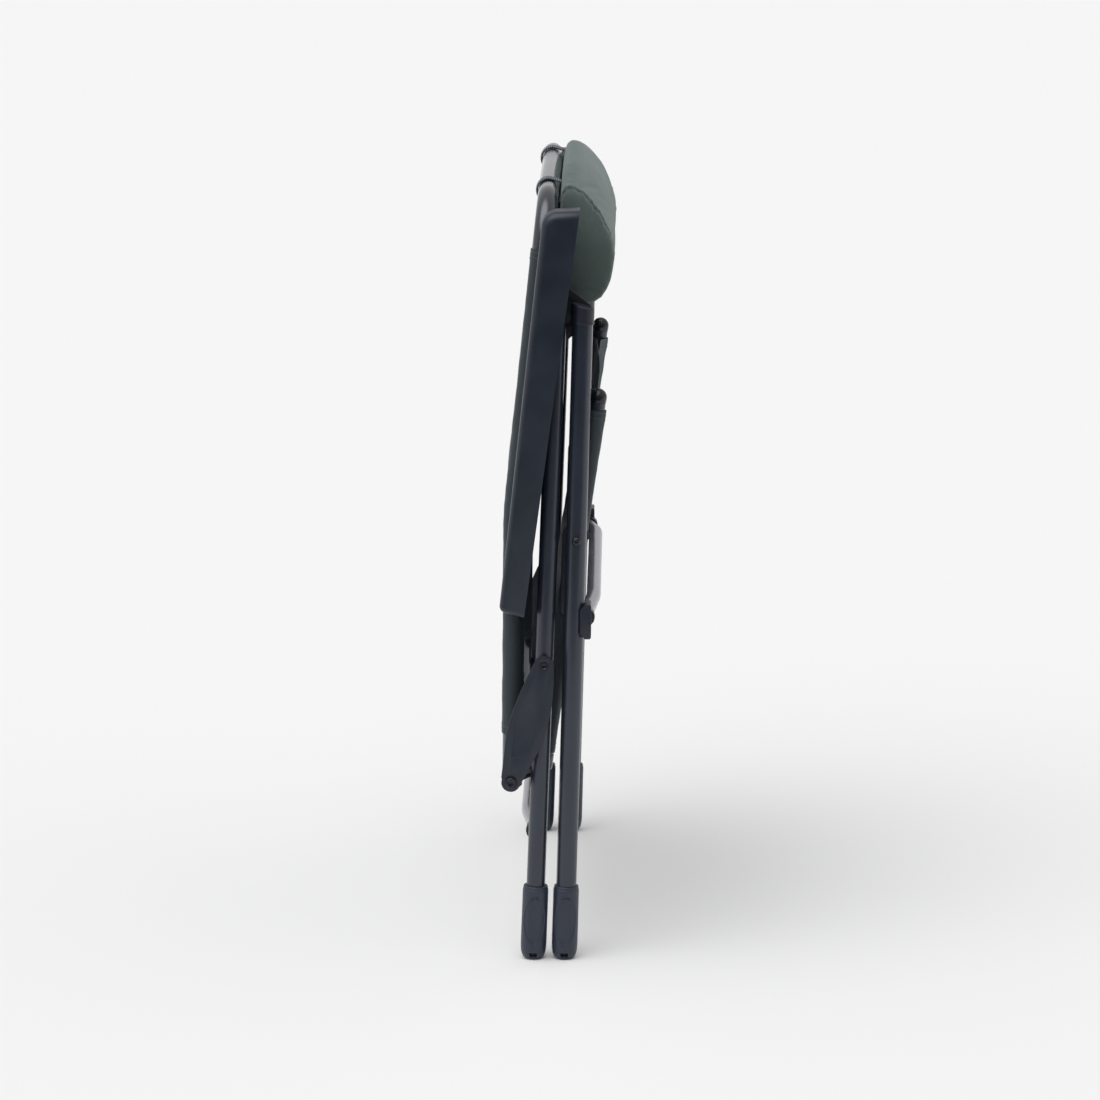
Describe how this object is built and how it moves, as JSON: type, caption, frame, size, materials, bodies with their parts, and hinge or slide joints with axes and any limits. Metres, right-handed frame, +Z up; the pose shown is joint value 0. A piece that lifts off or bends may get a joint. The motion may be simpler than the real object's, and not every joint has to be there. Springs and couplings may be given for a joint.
{
  "type": "folding camp chair",
  "caption": "High-backed folding camp chair with fabric slings, moulded armrests and a headrest cushion, folded flat and standing on its feet.",
  "frame": {"origin": "centre of the folded chair's footprint at floor level", "axes": "+Z up, -Y towards the chair's front, +X towards the sitter's left"},
  "size_m": [0.625, 0.1369, 0.9242],
  "materials": {
    "leg_tube": "satin dark slate powder coat on aluminium tube",
    "seat_tube": "satin dark slate powder coat on aluminium tube",
    "back_tube": "satin dark slate powder coat on aluminium tube",
    "cross_brace": "light silver-grey anodised",
    "armrest": "moulded plastic with fine spark texture, dark grey with a navy tint",
    "foot": "moulded plastic, dark slate blue",
    "leg_fitting": "moulded plastic, dark grey",
    "seat_fitting": "moulded plastic, near black",
    "link": "moulded plastic, dark grey",
    "bracket": "plated steel",
    "fastener": "dark plated steel",
    "sling": "coated polyester weave, dark slate blue",
    "pillow": "polyester cloth, grey-green",
    "elastic": "ribbed woven elastic, grey"
  },
  "bodies": {
    "rear_legs": {"right_rear_leg": "leg_tube", "left_rear_leg": "leg_tube", "right_rear_leg_plug": "leg_fitting", "left_rear_leg_plug": "leg_fitting", "right_rear_foot": "foot", "left_rear_foot": "foot", "right_rear_brace_socket": "leg_fitting", "left_rear_brace_socket": "leg_fitting", "rear_brace": "cross_brace"},
    "armrests": {"right_armrest": "armrest", "left_armrest": "armrest", "right_armrest_bracket": "bracket", "left_armrest_bracket": "bracket", "right_rear_leg_pin": "fastener", "left_rear_leg_pin": "fastener", "right_front_leg_pin": "fastener", "left_front_leg_pin": "fastener", "right_back_pivot_pin": "fastener", "left_back_pivot_pin": "fastener", "right_back_pivot_washer": "leg_fitting", "left_back_pivot_washer": "leg_fitting"},
    "front_legs": {"right_front_leg": "leg_tube", "left_front_leg": "leg_tube", "right_front_leg_cap": "leg_fitting", "left_front_leg_cap": "leg_fitting", "right_front_foot": "foot", "left_front_foot": "foot", "right_front_brace_saddle": "leg_fitting", "left_front_brace_saddle": "leg_fitting", "right_seat_pivot_screw": "fastener", "left_seat_pivot_screw": "fastener", "front_brace": "cross_brace"},
    "backrest": {"back_frame": "back_tube", "back_sling": "sling", "right_back_plug": "leg_fitting", "left_back_plug": "leg_fitting"},
    "seat": {"right_seat_tube": "seat_tube", "left_seat_tube": "seat_tube", "right_seat_cap": "seat_fitting", "left_seat_cap": "seat_fitting", "right_seat_lug": "seat_fitting", "left_seat_lug": "seat_fitting", "right_seat_pivot_plate": "leg_fitting", "left_seat_pivot_plate": "leg_fitting", "hinge_rod": "fastener", "seat_sling": "sling"},
    "links": {"right_link_plate": "link", "left_link_plate": "link", "right_link_rivet": "fastener", "left_link_rivet": "fastener", "right_hinge_screw": "fastener", "left_hinge_screw": "fastener", "right_hinge_spacer": "leg_fitting", "left_hinge_spacer": "leg_fitting"},
    "headrest": {"headrest_pillow": "pillow", "right_headrest_strap": "elastic", "left_headrest_strap": "elastic"}
  },
  "joints": [
    {"name": "fold", "type": "hinge", "parent": "rear_legs", "child": "armrests", "pos_m": [0, 0.0018, 0.75], "axis": [1, 0, 0], "range_deg": [0, 66.13]},
    {"name": "front_leg_pivot", "type": "hinge", "parent": "armrests", "child": "front_legs", "pos_m": [0, -0.02884, 0.776], "axis": [-1, 0, 0], "range_deg": [0, 105.2]},
    {"name": "back_pivot", "type": "hinge", "parent": "armrests", "child": "backrest", "pos_m": [0, 0.052, 0.484], "axis": [-1, 0, 0], "range_deg": [0, 105.2]},
    {"name": "seat_pivot", "type": "hinge", "parent": "front_legs", "child": "seat", "pos_m": [0, -0.02152, 0.51], "axis": [1, 0, 0], "range_deg": [0, 106.5]},
    {"name": "link_pivot", "type": "hinge", "parent": "rear_legs", "child": "links", "pos_m": [0, 0.01627, 0.361], "axis": [1, 0, 0], "range_deg": [0, 129]},
    {"name": "headrest_pivot", "type": "hinge", "parent": "backrest", "child": "headrest", "pos_m": [0, 0.0131, 0.904], "axis": [-1, 0, 0], "range_deg": [0, 100]}
  ],
  "couplings": [
    {"joint": "front_leg_pivot", "follows": "fold", "ratio": 1.588},
    {"joint": "back_pivot", "follows": "fold", "ratio": 1.5878},
    {"joint": "seat_pivot", "follows": "fold", "ratio": 1.6066},
    {"joint": "link_pivot", "follows": "fold", "ratio": 1.9467}
  ]
}
